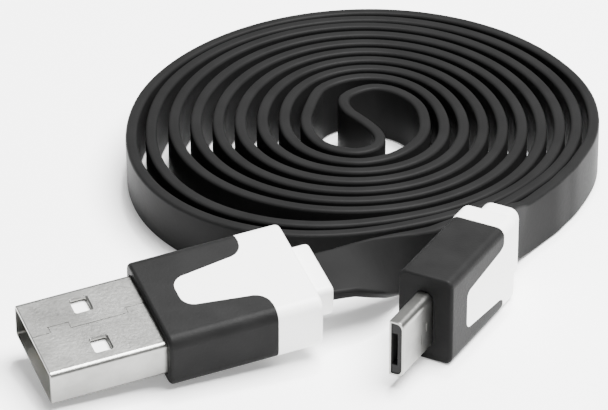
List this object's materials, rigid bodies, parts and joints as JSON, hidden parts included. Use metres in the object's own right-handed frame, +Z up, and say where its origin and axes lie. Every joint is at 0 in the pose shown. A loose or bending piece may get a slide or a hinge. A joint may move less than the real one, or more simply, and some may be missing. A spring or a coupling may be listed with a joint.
{
  "type": "charging cable",
  "caption": "Flat ribbon charging cable wound in a double spiral on its edge, with a type A plug and a micro plug in two-tone mouldings.",
  "frame": {"origin": "on the surface that the cable lies on, under the middle of the coil", "axes": "+Z up; +X runs from the type A plug's side to the micro plug's side; both plugs lie on the -Y side of the coil"},
  "size_m": [0.0656, 0.0791, 0.0106],
  "materials": {
    "shell_metal": "bright nickel-plated sheet, fine brushing",
    "contact_gold": "gold-flashed contacts",
    "insulator_white": "moulded, glossy",
    "insulator_black": "moulded, glossy",
    "cover_black": "moulded soft plastic, satin",
    "cover_white": "moulded soft plastic, satin",
    "inner_mould": "plain moulding, hidden",
    "cord_black": "extruded jacket, satin",
    "wire_red": "insulated wire",
    "wire_white": "insulated wire",
    "wire_green": "insulated wire",
    "wire_black": "insulated wire"
  },
  "bodies": {
    "root": {"type_a_shell": "shell_metal", "type_a_insulator": "insulator_white", "type_a_inner_mould": "inner_mould", "type_a_front_cover": "cover_black", "type_a_rear_cover": "cover_white", "micro_shell": "shell_metal", "micro_insulator": "insulator_black", "micro_inner_mould": "inner_mould", "micro_front_cover": "cover_black", "micro_rear_cover": "cover_white", "cable_type_a_lead": "cord_black", "cable_micro_lead": "cord_black", "cable_coil": "cord_black", "type_a_contact_1": "contact_gold", "type_a_contact_2": "contact_gold", "type_a_contact_3": "contact_gold", "type_a_contact_4": "contact_gold", "type_a_wire_1": "wire_red", "micro_wire_1": "wire_red", "type_a_wire_2": "wire_white", "micro_wire_2": "wire_white", "type_a_wire_3": "wire_green", "micro_wire_3": "wire_green", "type_a_wire_4": "wire_black", "micro_wire_4": "wire_black"},
    "latch_upper": {"micro_latch_upper": "shell_metal"},
    "latch_lower": {"micro_latch_lower": "shell_metal"},
    "contact_1": {"micro_contact_1": "contact_gold"},
    "contact_2": {"micro_contact_2": "contact_gold"},
    "contact_3": {"micro_contact_3": "contact_gold"},
    "contact_4": {"micro_contact_4": "contact_gold"},
    "contact_5": {"micro_contact_5": "contact_gold"}
  },
  "joints": [
    {"name": "latch_upper_spring_in", "type": "hinge", "parent": "root", "child": "latch_upper", "pos_m": [0.00686, -0.03815, 0.00783], "axis": [0, 0, 1], "range_deg": [0, 3.2], "stiffness_Nm_per_rad": 0.17},
    {"name": "latch_lower_spring_in", "type": "hinge", "parent": "root", "child": "latch_lower", "pos_m": [0.00686, -0.03815, 0.00227], "axis": [0, 0, 1], "range_deg": [0, 3.2], "stiffness_Nm_per_rad": 0.17},
    {"name": "contact_1_spring_in", "type": "hinge", "parent": "root", "child": "contact_1", "pos_m": [0.00633, -0.03957, 0.00375], "axis": [0, 0, 1], "range_deg": [0, 2], "stiffness_Nm_per_rad": 0.07},
    {"name": "contact_2_spring_in", "type": "hinge", "parent": "root", "child": "contact_2", "pos_m": [0.00633, -0.03957, 0.0044], "axis": [0, 0, 1], "range_deg": [0, 2], "stiffness_Nm_per_rad": 0.07},
    {"name": "contact_3_spring_in", "type": "hinge", "parent": "root", "child": "contact_3", "pos_m": [0.00633, -0.03957, 0.00505], "axis": [0, 0, 1], "range_deg": [0, 2], "stiffness_Nm_per_rad": 0.07},
    {"name": "contact_4_spring_in", "type": "hinge", "parent": "root", "child": "contact_4", "pos_m": [0.00633, -0.03957, 0.0057], "axis": [0, 0, 1], "range_deg": [0, 2], "stiffness_Nm_per_rad": 0.07},
    {"name": "contact_5_spring_in", "type": "hinge", "parent": "root", "child": "contact_5", "pos_m": [0.00633, -0.03957, 0.00635], "axis": [0, 0, 1], "range_deg": [0, 2], "stiffness_Nm_per_rad": 0.07}
  ]
}
